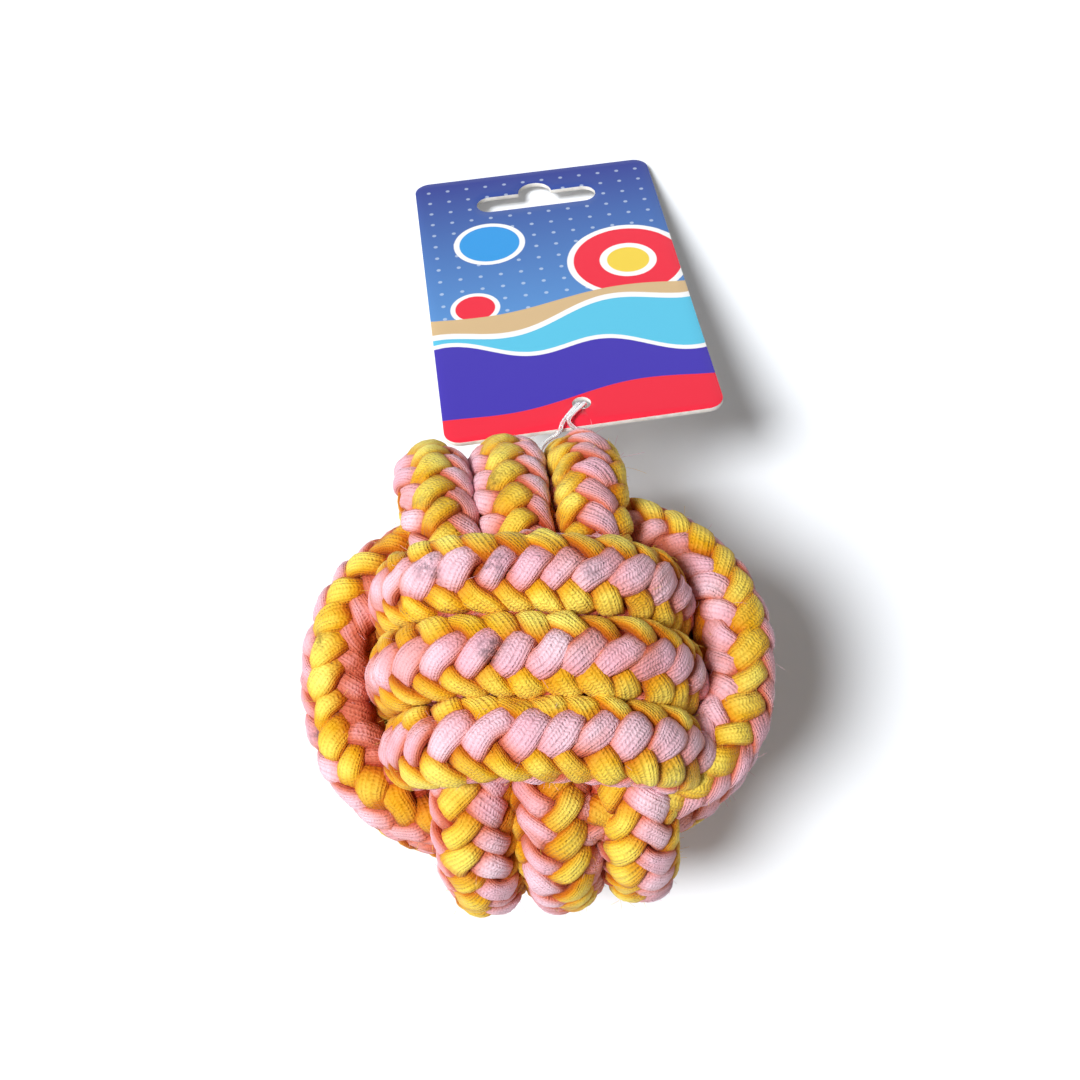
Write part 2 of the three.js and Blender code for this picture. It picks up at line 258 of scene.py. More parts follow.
# The braid: six pink strands one way round the rope and six yellow ones the other way
STRANDS = 6
BRAID_PITCH = 33.5  # rope length in which a strand goes once round
ROWS = 3  # rows of pillows of each colour round the rope
OVER_RADIUS = 6.1  # middle of a strand on top of the others
UNDER_RADIUS = 3.9
PILLOW_CROWN = 0.4  # how much higher the middle of a pillow is than its ends
LIFT_SHARPNESS = 1.7  # how quickly a strand changes from under to over
OVER_WIDTH = 5.6
UNDER_WIDTH = 4.8
OVER_THICKNESS = 3.2
UNDER_THICKNESS = 3.0
PILLOW_SQUARENESS = 2.5
SAMPLES_PER_PITCH = 51
STRAND_SIDES = 12
YARN_PERIMETER = 14.4
CREVICE_TOP = 8.1  # distance from the rope's middle at which no shade of a crevice is left
CREVICE_BOTTOM = 5.4
BALL_SHADE_TOP = 46.0  # distance from the ball's middle at which the shade of the gaps between turns ends
BALL_SHADE_BOTTOM = 35.0
PILLOW_TOP = 8.2  # distance of a pillow's top from the rope's middle, set to the solid's surface
FINE_STEPS = 6000
FLOOR_CLEARANCE = 0.02
# Unevenness of the strands: amount, rope length in millimetres over which it changes, own random start
WANDER = (0.25, 31.0, 0)  # distance from the rope's middle, in millimetres
WIDTH_CHANGE = (0.2, 19.0, 1)  # share of the width
CREASE_SHIFT = (0.5, 41.0, 2)  # place of a crease round the strand, in radians
CREASE_STRETCH = (1.0, 37.0, 3)  # where creases come and go
SWAY = (0.11, 19.0, 4)  # place round the rope, in radians
LEAN = (0.22, 27.0, 5)  # turn about the strand's own run, in radians
PLUMPNESS = (0.12, 9.0, 6)  # share of the thickness
WAVE_RATIOS = (1, 1.7, 2.9)
CREASE_START = 0.3
CREASE_FULL = 0.8
CREASE_DEPTH = 0.35  # share of the thickness
CREASE_WIDTH = 0.35  # radians round the strand


def rope_stations(winding):
    """Places along the rope at an even spacing, with its directions and half sizes there."""
    last_turn = TURNS / 2 - TUCKED_TURN
    fine_turn = np.linspace(-last_turn, last_turn, FINE_STEPS)
    steps = np.linalg.norm(np.diff(rope_middle(winding, fine_turn), axis=0), axis=1)
    fine_length = np.concatenate([[0], np.cumsum(steps)])
    count = int(fine_length[-1] / BRAID_PITCH * SAMPLES_PER_PITCH)
    length = np.linspace(0, fine_length[-1], count)
    turn = np.interp(length, fine_length, fine_turn)
    middle = rope_middle(winding, turn)
    tangent = unit(np.gradient(middle, axis=0))
    along_axis = np.eye(3)[winding["axes"][0]]
    outward = unit(np.cross(tangent, along_axis))
    cover = cover_at(winding, turn)
    press = 1 - smoothstep(middle[:, 1], SLACK_START, SLACK_END)
    return {
        "length": length,
        "middle": middle,
        "outward": outward,
        "sideways": np.cross(outward, tangent),
        "half_width": WRAPPED_HALF_WIDTH * (1 - COVER_GATHER * cover),
        "outer_half": ROPE_RADIUS * (1 - OUTER_PRESS * cover * press),
        "inner_half": ROPE_RADIUS * (1 - winding["inner_press"] * press),
        "roll": np.radians(np.interp(turn, winding["roll_turns"], winding["roll"])),
        "gap_shade": winding["gap_shade"],
    }


def soft_wander(seed, length, change):
    """Slow uneven change along each strand: half the sum of three sine waves, times the amount."""
    amount, wavelength, own_start = change
    phases = np.random.default_rng(seed + own_start).uniform(0, 2 * np.pi, (len(WAVE_RATIOS), STRANDS, 1))
    wave = 2 * np.pi * length / wavelength
    waves = [np.sin(ratio * wave + phase) for ratio, phase in zip(WAVE_RATIOS, phases)]
    return amount * sum(waves) / 2


def strand_middles(rope, direction, seed):
    """Strand middles go evenly round the rope, and rise and dive three times in a turn.

    The rise is the cosine of three times the angle. A hyperbolic tangent flattens it over and under.
    """
    length = rope["length"]
    strand = np.arange(STRANDS)[:, None]
    sway = soft_wander(seed, length, SWAY)
    first_place = (1 - direction) / 4  # yellow strands start half a space on, so crossings fall in pairs
    own_angle = 2 * np.pi * ((strand + first_place) / STRANDS + direction * length / BRAID_PITCH) + sway
    rise = direction * np.cos(ROWS * own_angle)
    over = (np.tanh(LIFT_SHARPNESS * rise) / math.tanh(LIFT_SHARPNESS) + 1) / 2
    radius = UNDER_RADIUS + (OVER_RADIUS - UNDER_RADIUS) * over + PILLOW_CROWN * np.maximum(rise, 0)
    radius += soft_wander(seed, length, WANDER)
    angle = own_angle + rope["roll"]
    across_scale = rope["half_width"] / ROPE_RADIUS
    out_scale = np.where(np.cos(angle) > 0, rope["outer_half"], rope["inner_half"]) / PILLOW_TOP
    across = radius * np.sin(angle) * across_scale
    out = radius * np.cos(angle) * out_scale
    middle = rope["middle"] + across[..., None] * rope["sideways"] + out[..., None] * rope["outward"]
    return middle, angle, radius, over


def strand_directions(rope, middle, angle, seed):
    """Edgeways is square to the strand's run and to the rope's radius, and upward is square to both.

    The two are then turned about the run by a small uneven lean.
    """
    tangent = unit(np.gradient(middle, axis=1))
    radial = np.sin(angle)[..., None] * rope["sideways"] + np.cos(angle)[..., None] * rope["outward"]
    edgeways = unit(np.cross(tangent, radial))
    upward = np.cross(edgeways, tangent)
    lean = soft_wander(seed, rope["length"], LEAN)[..., None]
    leaning_edgeways = edgeways * np.cos(lean) + upward * np.sin(lean)
    leaning_upward = upward * np.cos(lean) - edgeways * np.sin(lean)
    return leaning_edgeways, leaning_upward


def crease_share(ring, length, seed):
    """Share of the height that a crease takes away: a bell curve round the strand, on some stretches."""
    place = np.pi / 2 + soft_wander(seed, length, CREASE_SHIFT)
    depth = CREASE_DEPTH * smoothstep(soft_wander(seed, length, CREASE_STRETCH), CREASE_START, CREASE_FULL)
    return depth[..., None] * np.exp(-((ring - place[..., None]) / CREASE_WIDTH) ** 2)


def fold_shade(rings, from_rope_middle, gap_shade):
    """0 on top of the yarn and 1 deep down: the depth in the rope, and a share of the depth in the ball."""
    crevice = np.clip((CREVICE_TOP - from_rope_middle) / (CREVICE_TOP - CREVICE_BOTTOM), 0, 1)
    from_ball_middle = np.linalg.norm(rings - (0, 0, BALL_HEIGHT), axis=-1)
    gap = np.clip((BALL_SHADE_TOP - from_ball_middle) / (BALL_SHADE_TOP - BALL_SHADE_BOTTOM), 0, 1)
    return np.minimum(crevice + gap_shade * gap, 1)


def strand_rings(rope, direction, seed):
    """Rings round the strand middles, the length along each strand, and the shade at each point.

    A ring is a squared ellipse, wide and thick on top and slimmer below, with creases along some stretches.
    """
    length = rope["length"]
    middle, angle, radius, over = strand_middles(rope, direction, seed)
    edgeways, upward = strand_directions(rope, middle, angle, seed)
    width_change = 1 + soft_wander(seed, length, WIDTH_CHANGE)
    half_width = (UNDER_WIDTH + (OVER_WIDTH - UNDER_WIDTH) * over) / 2 * width_change
    plumpness = 1 + soft_wander(seed, length, PLUMPNESS)
    half_height = (UNDER_THICKNESS + (OVER_THICKNESS - UNDER_THICKNESS) * over) / 2 * plumpness
    ring = 2 * np.pi * (np.arange(STRAND_SIDES) + 0.5) / STRAND_SIDES - np.pi / 2
    wide = np.sign(np.cos(ring)) * np.abs(np.cos(ring)) ** (2 / PILLOW_SQUARENESS)
    high = np.sign(np.sin(ring)) * np.abs(np.sin(ring)) ** (2 / PILLOW_SQUARENESS)
    height = half_height[..., None] * high * (1 - crease_share(ring, length, seed))
    edge_part = (half_width[..., None] * wide)[..., None] * edgeways[:, :, None, :]
    up_part = height[..., None] * upward[:, :, None, :]
    rings = middle[:, :, None, :] + edge_part + up_part
    rings[..., 2] = np.maximum(rings[..., 2], FLOOR_CLEARANCE)
    strand_steps = np.linalg.norm(np.diff(middle, axis=1), axis=2)
    along = np.concatenate([np.zeros((STRANDS, 1)), np.cumsum(strand_steps, axis=1)], axis=1)
    return rings, along, fold_shade(rings, radius[..., None] + height, rope["gap_shade"])


# Knitted cotton jersey, cut in strips that curl into soft round yarn: matt, with fine ribs of stitches
WALE_MM = 0.6  # a rib of stitches
COURSE_MM = 0.55
PATCH_MM = 11  # stretch of paler dye
FIBRE_MM = 0.7  # a tuft of fibres, drawn coarser than a fibre so that it shows
WRINKLE_MM = 2.6
WRINKLE_DEPTH_MM = 1.1
STITCH_DEPTH_MM = 0.22
STREAK_MM = 2.4  # a streak of dirt
STITCH_SLANT = 0.6  # how far a stitch slants in a rib, in courses
STITCH_SHARE = 0.3  # height of the stitches against the ribs
FIBRE_SHARE = 0.9  # height of the fibres against the ribs
PATCH_RANGE = (0.38, 0.78)  # noise values between which the dye turns paler
PATCH_SHARE = 0.8
CROWN_HIGHLIGHT_REACH = 0.2  # crevice value at which the painted highlight on a pillow's crown ends
VALLEY_RANGE = (-0.2, 0.7)  # knit heights between which the shade between the ribs fades
VALLEY_SHADE = 0.3
SIDE_SHADE_RANGE = (0.06, 0.48)  # crevice values between which a pillow's side turns to the painted shade of a fold
# crevice values between which the darker painted shade deep in a fold comes in
BOTTOM_SHADE_RANGE = (0.38, 0.85)
STREAK_RANGE = (0.42, 0.62)  # noise values between which dirt shows
# Places on the ball in millimetres and radius of each dirty patch
PINK_SOIL = (
    (-6.8, 12.2, 94.9, 4.0), (-7.3, -3.5, 95.4, 4.2), (-18.3, 13.4, 91.7, 4.5),
    (-41.6, 7.7, 65.3, 5.0), (-42.1, -10.3, 63.5, 5.0), (11.0, 11.1, 94.1, 3.2),
)
YELLOW_SOIL = (
    (26.3, -23.9, 84.0, 7.0), (-18.6, 29.4, 79.1, 6.0), (-6.3, 33.3, 77.7, 7.0), (7.6, 34.9, 75.0, 6.0),
    (-41.6, 7.7, 65.3, 4.0),
)


def knit_height(tree):
    """Ribs rise as a sine across the strand without its sign, and stitches as a sine along it.

    The stitches slant one way in a rib and the other way in the next, which gives their V shape.
    """
    place = add_node(tree, "ShaderNodeUVMap", uv_map="surface_mm")
    split = add_node(tree, "ShaderNodeSeparateXYZ", {0: place.outputs[0]})
    rib = add_node(tree, "ShaderNodeMath", {0: split.outputs[1], 1: WALE_MM}, operation="DIVIDE")
    in_rib = add_node(tree, "ShaderNodeMath", {0: rib.outputs[0], 1: 1.0}, operation="PINGPONG")
    row = add_node(tree, "ShaderNodeMath", {0: split.outputs[0], 1: COURSE_MM}, operation="DIVIDE")
    slanted = add_node(tree, "ShaderNodeMath", {0: in_rib.outputs[0], 1: STITCH_SLANT, 2: row.outputs[0]},
                       operation="MULTIPLY_ADD")
    phase = add_node(tree, "ShaderNodeMath", {0: slanted.outputs[0], 1: 2 * math.pi}, operation="MULTIPLY")
    stitch = add_node(tree, "ShaderNodeMath", {0: phase.outputs[0]}, operation="SINE")
    rib_phase = add_node(tree, "ShaderNodeMath", {0: rib.outputs[0], 1: math.pi}, operation="MULTIPLY")
    rib_wave = add_node(tree, "ShaderNodeMath", {0: rib_phase.outputs[0]}, operation="SINE")
    rib_height = add_node(tree, "ShaderNodeMath", {0: rib_wave.outputs[0]}, operation="ABSOLUTE")
    knit = add_node(tree, "ShaderNodeMath", {0: stitch.outputs[0], 1: STITCH_SHARE, 2: rib_height.outputs[0]},
                    operation="MULTIPLY_ADD")
    return knit.outputs[0]


def knit_bump(tree, where, knit):
    """Bumps of the knit and its fibres on top of broad soft wrinkles."""
    fibres = add_node(tree, "ShaderNodeTexNoise",
                      {"Vector": where, "Scale": noise_scale(FIBRE_MM), "Detail": 2.0})
    fuzzy = add_node(tree, "ShaderNodeMath", {0: fibres.outputs[0], 1: FIBRE_SHARE, 2: knit},
                     operation="MULTIPLY_ADD")
    folds = add_node(tree, "ShaderNodeTexNoise", {
        "Vector": where, "Scale": noise_scale(WRINKLE_MM), "Detail": 3.0, "Roughness": 0.6,
    })
    wrinkles = add_node(tree, "ShaderNodeBump", {
        "Height": folds.outputs[0], "Strength": 0.7, "Distance": WRINKLE_DEPTH_MM * MM,
    })
    bump = add_node(tree, "ShaderNodeBump", {
        "Height": fuzzy.outputs[0], "Strength": 0.6, "Distance": STITCH_DEPTH_MM * MM,
        "Normal": wrinkles.outputs[0],
    })
    return bump.outputs[0]


def colour_with_painted_light(tree, where, knit, colours, crown_highlight):
    """Body colour, paler dye patches, painted highlight on crowns, painted shade in ribs and warmer in folds.
    """
    # light is paler dye and the painted highlight; shade, fold and deep are painted shade between ribs and in
    # folds
    light, body, shade, fold, deep = colours
    patches = add_node(tree, "ShaderNodeTexNoise",
                       {"Vector": where, "Scale": noise_scale(PATCH_MM), "Detail": 3.0})
    patchy = add_node(tree, "ShaderNodeMapRange",
                      {0: patches.outputs[0], 1: PATCH_RANGE[0], 2: PATCH_RANGE[1]})
    depth = add_node(tree, "ShaderNodeAttribute", attribute_name="crevice").outputs["Fac"]
    # Painted highlight: a pillow's crown is paler, as if lit from above
    crown = add_node(tree, "ShaderNodeMapRange",
                     {0: depth, 1: 0.0, 2: CROWN_HIGHLIGHT_REACH, 3: crown_highlight, 4: 0.0})
    paleness_and_highlight = add_node(tree, "ShaderNodeMath", {0: patchy.outputs[0], 1: PATCH_SHARE, 2: crown.outputs[0]},
                        operation="MULTIPLY_ADD")
    lit = add_node(tree, "ShaderNodeMix", {0: paleness_and_highlight.outputs[0], 6: body, 7: light}, data_type="RGBA")
    valley = add_node(tree, "ShaderNodeMapRange",
                      {0: knit, 1: VALLEY_RANGE[0], 2: VALLEY_RANGE[1], 3: VALLEY_SHADE, 4: 0.0})
    colour = add_node(tree, "ShaderNodeMix", {0: valley.outputs[0], 6: lit.outputs[2], 7: shade},
                      data_type="RGBA")
    # Painted shade on the sides and deep in folds, warm as if lit by light bounced off the yarn
    for (start, end), painted_shade_colour in ((SIDE_SHADE_RANGE, fold), (BOTTOM_SHADE_RANGE, deep)):
        share = add_node(tree, "ShaderNodeMapRange", {0: depth, 1: start, 2: end})
        colour = add_node(tree, "ShaderNodeMix", {0: share.outputs[0], 6: colour.outputs[2], 7: painted_shade_colour},
                          data_type="RGBA")
    return colour.outputs[2]


def soiled_colour(tree, where, colour, soil, spots):
    """Streaks of dirt that fade evenly from the middle of each spot to its edge."""
    streaks = add_node(tree, "ShaderNodeTexNoise", {
        "Vector": where, "Scale": noise_scale(STREAK_MM), "Detail": 5.0, "Roughness": 0.7,
    })
    streaky = add_node(tree, "ShaderNodeMapRange",
                       {0: streaks.outputs[0], 1: STREAK_RANGE[0], 2: STREAK_RANGE[1]})
    for *spot, reach in spots:
        middle = tuple(size * MM for size in spot)
        away = add_node(tree, "ShaderNodeVectorMath", {0: where, 1: middle}, operation="DISTANCE")
        near = add_node(tree, "ShaderNodeMapRange",
                        {0: away.outputs["Value"], 1: 0.0, 2: reach * MM, 3: 1.0, 4: 0.0})
        dirty = add_node(tree, "ShaderNodeMath", {0: near.outputs[0], 1: streaky.outputs[0]},
                         operation="MULTIPLY")
        mixed = add_node(tree, "ShaderNodeMix", {0: dirty.outputs[0], 6: colour, 7: soil}, data_type="RGBA")
        colour = mixed.outputs[2]
    return colour


def jersey_yarn(name, colours, crown_highlight, soil_spots):
    """Curled cotton knit: matt, ribbed, with warm dark painted shade in its folds, and soiled in a few spots.
    """
    *clean_colours, soil = [linear(colour) for colour in colours]
    material, tree = new_material(name)
    where = add_node(tree, "ShaderNodeTexCoord").outputs["Object"]
    knit = knit_height(tree)
    clean = colour_with_painted_light(tree, where, knit, clean_colours, crown_highlight)
    shader = add_node(tree, "ShaderNodeBsdfPrincipled", {
        "Base Color": soiled_colour(tree, where, clean, soil, soil_spots), "Roughness": 0.62,
        "Normal": knit_bump(tree, where, knit),
        "Sheen Weight": 0.06, "Sheen Roughness": 0.5, "Specular IOR Level": 0.2,
    })
    add_node(tree, "ShaderNodeOutputMaterial", {0: shader.outputs[0]})
    return material


# Colours of each yarn: pale dye and painted highlight, body, painted shade between stitches, in folds and
# deep in folds, soil
PINK_COLOURS = ("#FFE4EF", "#F0B4C4", "#D4868E", "#DE7E64", "#A83612", "#463E48")
YELLOW_COLOURS = ("#FFEE70", "#EFBC14", "#C88400", "#D27A00", "#A04200", "#92742C")
PINK_CROWN_HIGHLIGHT = 0.1  # how much paler the painted highlight makes the crowns
YELLOW_CROWN_HIGHLIGHT = 0.45
pink_jersey = jersey_yarn("pink_jersey_yarn", PINK_COLOURS, PINK_CROWN_HIGHLIGHT, PINK_SOIL)
yellow_jersey = jersey_yarn("yellow_jersey_yarn", YELLOW_COLOURS, YELLOW_CROWN_HIGHLIGHT, YELLOW_SOIL)
STRAND_KINDS = (("pink", 1, pink_jersey), ("yellow", -1, yellow_jersey))


# Loose fibres: short fine hairs that stand out of the yarn
HAIRS_PER_PIECE = 2500
HAIR_LENGTH = 1.3
SHORTEST_HAIR = 0.4  # share of the full length
HAIR_CURL = 0.9  # how far a hair's tip bends away, against its length
BALL_SHARE = 0.6  # share of the ball's outward direction in the start of a hair
HAIR_SQUARE_TO = (0.31, 0.52, 0.8)  # a slanting direction from which the rings are squared
FRAYED_SPOT = (20.0, 44.0, 68.0)  # worn place at the far end, where fibres have pulled out
FRAYED_REACH = 9.0
FRAYED_LENGTH = 2.0  # extra length there, against the hair's own
HAIR_RADIUS = 0.03
HAIR_RINGS = 5
HAIR_SIDES = 3
# Steps between the random starts of the windings, of their colours, and of a colour's strands and hairs
WINDING_SEED_STEP = 100
COLOUR_SEED_STEP = 10
HAIR_SEED_STEP = 9


def hair_rings(rings, seed):
    """Thin bent tubes: a hair leaves a ring point straight out and bends with the square of the way along."""
    random = np.random.default_rng(seed)
    middles = rings.mean(axis=2)
    strand = random.integers(0, rings.shape[0], HAIRS_PER_PIECE)
    place = random.integers(0, rings.shape[1], HAIRS_PER_PIECE)
    side = random.integers(0, rings.shape[2], HAIRS_PER_PIECE)
    root = rings[strand, place, side]
    out = unit(root - middles[strand, place]) + BALL_SHARE * unit(root - (0, 0, BALL_HEIGHT))
    curl = random.normal(0, HAIR_CURL, (HAIRS_PER_PIECE, 3))
    share = np.linspace(0, 1, HAIR_RINGS)[:, None]
    frayed = np.exp(-(np.linalg.norm(root - FRAYED_SPOT, axis=1) / FRAYED_REACH) ** 2)
    length = HAIR_LENGTH * random.uniform(SHORTEST_HAIR, 1, (HAIRS_PER_PIECE, 1, 1))
    length *= 1 + FRAYED_LENGTH * frayed[:, None, None]
    path = root[:, None] + length * (share * unit(out)[:, None] + share ** 2 * curl[:, None])
    path[..., 2] = np.maximum(path[..., 2], FLOOR_CLEARANCE + HAIR_RADIUS)
    return round_tubes(path, HAIR_RADIUS, HAIR_SQUARE_TO, HAIR_SIDES)


def add_winding(node_name, winding, seed):
    """Loose fibres and strands of both colours on one winding."""
    rope = rope_stations(winding)
    for number, (colour, direction, material) in enumerate(STRAND_KINDS):
        own_seed = seed + COLOUR_SEED_STEP * number
        rings, along, crevice = strand_rings(rope, direction, own_seed)
        hairs = hair_rings(rings, own_seed + HAIR_SEED_STEP)
        hair_faces = tube_faces(HAIRS_PER_PIECE, HAIR_RINGS, HAIR_SIDES)
        fuzz = make_piece(f"{node_name}_{colour}_fuzz", hairs.reshape(-1, 3), hair_faces, [material])
        faces = tube_faces(STRANDS, len(rope["length"]), STRAND_SIDES)
        uv = tube_uv(along, YARN_PERIMETER, STRAND_SIDES)
        strands = make_piece(f"{node_name}_{colour}", rings.reshape(-1, 3), faces, [material], uv, crevice)
        for piece in (fuzz, strands):
            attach(piece, "ball")
            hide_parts(node_name)


for winding_number, (winding_name, winding_sizes) in enumerate(WINDINGS.items()):
    add_winding(winding_name, winding_sizes, WINDING_SEED_STEP * (winding_number + 1))


# The core: a ball of wound scrap yarn, seen only through the gaps between the turns
CORE_RADIUS = 23.0
YARN_SPACING = 2.4
YARN_DEPTH = 0.7
SCRAP_PATCH_MM = 9
SCRAP_FIBRE_MM = 1.1
SCRAP_FIBRE_DEPTH_MM = 0.3
SCRAP_COLOURS = ("#C98A93", "#C99A3A")
CORE_ROWS = 120
CORE_COLUMNS = 240
WINDING_DIRECTIONS = unit(np.array([
    (1, 0.2, 0.1), (-0.2, 1, 0.3), (0.2, -0.3, 1), (1, 1, -0.6), (-1, 0.7, 1), (0.6, -1, 0.9),
]))


def core_skin():
    """A sphere with yarn ridges. Each patch has ridges round the axis whose equator it lies nearest to.

    A ridge rises as a cosine, without its sign, of the distance from that equator.
    """
    polar = np.pi * np.arange(1, CORE_ROWS) / CORE_ROWS
    turned = 2 * np.pi * np.arange(CORE_COLUMNS) / CORE_COLUMNS
    polar, turned = np.meshgrid(polar, turned, indexing="ij")
    grid = np.stack([np.sin(polar) * np.cos(turned), np.sin(polar) * np.sin(turned), np.cos(polar)], axis=-1)
    directions = np.concatenate([grid.reshape(-1, 3), [(0, 0, 1), (0, 0, -1)]])
    heights = directions @ WINDING_DIRECTIONS.T
    nearest = np.argmin(np.abs(heights), axis=1)
    height = np.take_along_axis(heights, nearest[:, None], axis=1)[:, 0]
    ridge = np.abs(np.cos(np.pi * CORE_RADIUS * np.arcsin(height) / YARN_SPACING))
    radius = CORE_RADIUS - YARN_DEPTH * (1 - ridge)
    points = directions * radius[:, None] + (0, 0, BALL_HEIGHT)
    row, column = np.meshgrid(np.arange(CORE_ROWS - 2), np.arange(CORE_COLUMNS), indexing="ij")
    first = row * CORE_COLUMNS
    next_column = (column + 1) % CORE_COLUMNS
    quads = np.stack([first + column, first + CORE_COLUMNS + column,
                      first + CORE_COLUMNS + next_column, first + next_column], axis=-1)
    ends = np.arange(CORE_COLUMNS)
    after = (ends + 1) % CORE_COLUMNS
    last = (CORE_ROWS - 2) * CORE_COLUMNS
    top = len(points) - 2
    top_fan = np.stack([np.full(CORE_COLUMNS, top), ends, after], axis=-1)
    bottom_fan = np.stack([np.full(CORE_COLUMNS, top + 1), last + after, last + ends], axis=-1)
    return points, quads.reshape(-1, 4).tolist() + top_fan.tolist() + bottom_fan.tolist()


def scrap_yarn():
    """Wound cotton scrap: dull brownish pink and yellow patches, matt and hairy."""
    material, tree = new_material("wound_scrap_yarn")
    where = add_node(tree, "ShaderNodeTexCoord").outputs["Object"]
    patches = add_node(tree, "ShaderNodeTexNoise",
                       {"Vector": where, "Scale": noise_scale(SCRAP_PATCH_MM), "Detail": 2.0})
    patchy = add_node(tree, "ShaderNodeMapRange", {0: patches.outputs[0], 1: 0.4, 2: 0.6})
    pink, yellow = [linear(colour) for colour in SCRAP_COLOURS]
    colour = add_node(tree, "ShaderNodeMix", {0: patchy.outputs[0], 6: pink, 7: yellow}, data_type="RGBA")
    fibres = add_node(tree, "ShaderNodeTexNoise",
                      {"Vector": where, "Scale": noise_scale(SCRAP_FIBRE_MM), "Detail": 3.0})
    bump = add_node(tree, "ShaderNodeBump",
                    {"Height": fibres.outputs[0], "Strength": 0.6, "Distance": SCRAP_FIBRE_DEPTH_MM * MM})
    shader = add_node(tree, "ShaderNodeBsdfPrincipled", {
        "Base Color": colour.outputs[2], "Roughness": 0.95, "Normal": bump.outputs[0], "Sheen Weight": 0.2,
    })
    add_node(tree, "ShaderNodeOutputMaterial", {0: shader.outputs[0]})
    return material


core_points, core_faces = core_skin()
core = make_piece("core_yarn_ball", core_points, core_faces, [scrap_yarn()])
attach(core, "ball")
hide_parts("core_ball")


# The tag: a card measured from its hole, aside to the right, far to the hook end, front out of its face
TAG_HOLE = np.array((14.0856, 62.8673, 45.468))
TAG_ASIDE = np.array((0.9966, 0.0819, 0))
TAG_FAR = np.array((-0.0727, 0.8833, -0.4631))
TAG_FRONT = np.cross(TAG_ASIDE, TAG_FAR)
TAG_HALF_WIDTH = 31.0
TAG_NEAR = -7.0  # near edge, on the ball's side of the hole
TAG_REACH = 97.0  # far edge
TAG_THICKNESS = 1.0
TAG_CORNER = 4.0
HOLE_RADIUS = 2.1
SLOT_MIDDLE = 83.7
SLOT_HALF_LENGTH = 15.5
SLOT_HALF_HEIGHT = 3.4
ARCH_RADIUS = 4.3
CARD_GRID = 2.5
CARD_BOW = 0.3  # how far the side edges curl back
BOW_FADES = (0.4, 0.8)  # shares of the reach between which the bow fades out
CARD_CURL = 0.8  # how far the near left corner curls back
CURL_ASIDE_POWER = 1.3
CURL_NEAR_POWER = 2
CUT_EDGE = 0.12  # width of the card's softened edge
CORNER_POINTS = 9
SLOT_END_POINTS = 15
ARCH_POINTS = 17
HOLE_POINTS = 32
GRID_MARGIN = 2  # from the card's edge to the first inner points
RIM_CLEARANCE = 1  # least distance of inner points from the slot, the hole and the other edges
INSIDE_ONLY = 1  # keeps the triangles inside the outermost rim
WELD = 1e-5  # distance within which points become one
HOLE_SHARE = 0.98  # share of the hole's radius within which triangles are cut out


def on_tag(aside, far, front):
    """Points in space from distances aside, far and front of the tag's hole."""
    spots = np.stack(np.broadcast_arrays(aside, far, front), axis=-1)
    return TAG_HOLE + spots @ np.stack([TAG_ASIDE, TAG_FAR, TAG_FRONT])


def arc(middle, radius, start, end, count):
    """Points on a circle from one angle to another, in degrees."""
    angle = np.radians(np.linspace(start, end, count))
    return np.stack([middle[0] + radius * np.cos(angle), middle[1] + radius * np.sin(angle)], axis=-1)


def card_outline():
    """Quarter circles at the card's four corners, joined by straight edges."""
    side = TAG_HALF_WIDTH - TAG_CORNER
    low, high = TAG_NEAR + TAG_CORNER, TAG_REACH - TAG_CORNER
    corners = ((side, low, -90), (side, high, 0), (-side, high, 90), (-side, low, 180))
    arcs = [arc((aside, far), TAG_CORNER, start, start + 90, CORNER_POINTS) for aside, far, start in corners]
    return np.concatenate(arcs)


def slot_outline():
    """A long slot with round ends, and an arch in the middle of its far side."""
    end = SLOT_HALF_LENGTH - SLOT_HALF_HEIGHT
    return np.concatenate([
        arc((end, SLOT_MIDDLE), SLOT_HALF_HEIGHT, -90, 90, SLOT_END_POINTS),
        arc((0, SLOT_MIDDLE + SLOT_HALF_HEIGHT), ARCH_RADIUS, 0, 180, ARCH_POINTS),
        arc((-end, SLOT_MIDDLE), SLOT_HALF_HEIGHT, 90, 270, SLOT_END_POINTS),
    ])


def slot_distance(spots):
    """How far each spot lies outside the slot: the nearer of its bar and its arch."""
    end = SLOT_HALF_LENGTH - SLOT_HALF_HEIGHT
    to_bar = np.hypot(np.maximum(np.abs(spots[:, 0]) - end, 0), spots[:, 1] - SLOT_MIDDLE) - SLOT_HALF_HEIGHT
    to_arch = np.hypot(spots[:, 0], spots[:, 1] - SLOT_MIDDLE - SLOT_HALF_HEIGHT) - ARCH_RADIUS
    return np.minimum(to_bar, to_arch)


def card_faces():
    """Triangles over the card between its outline, its slot, its hole and an even grid of inner points."""
    hole = arc((0, 0), HOLE_RADIUS, 0, 360, HOLE_POINTS + 1)[:-1]
    rims = [card_outline(), slot_outline(), hole]
    aside = np.arange(-TAG_HALF_WIDTH + GRID_MARGIN, TAG_HALF_WIDTH - RIM_CLEARANCE, CARD_GRID)
    far = np.arange(TAG_NEAR + GRID_MARGIN, TAG_REACH - RIM_CLEARANCE, CARD_GRID)
    inner = np.stack(np.meshgrid(aside, far, indexing="ij"), axis=-1).reshape(-1, 2)
    clear_of_hole = np.hypot(*inner.T) > HOLE_RADIUS + RIM_CLEARANCE
    clear = (slot_distance(inner) > RIM_CLEARANCE) & clear_of_hole
    spots = np.concatenate(rims + [inner[clear]])
    edges = []
    start = 0
    for rim in rims:
        numbers = start + np.arange(len(rim))
        edges += np.stack([numbers, np.roll(numbers, -1)], axis=-1).tolist()
        start += len(rim)
    result = delaunay_2d_cdt([Vector(spot) for spot in spots], edges, [], INSIDE_ONLY, WELD)
    spots = np.array([tuple(spot) for spot in result[0]])
    faces = np.array(result[2])
    middles = spots[faces].mean(axis=1)
    solid = (slot_distance(middles) > 0) & (np.hypot(*middles.T) > HOLE_RADIUS * HOLE_SHARE)
    return spots, faces[solid]


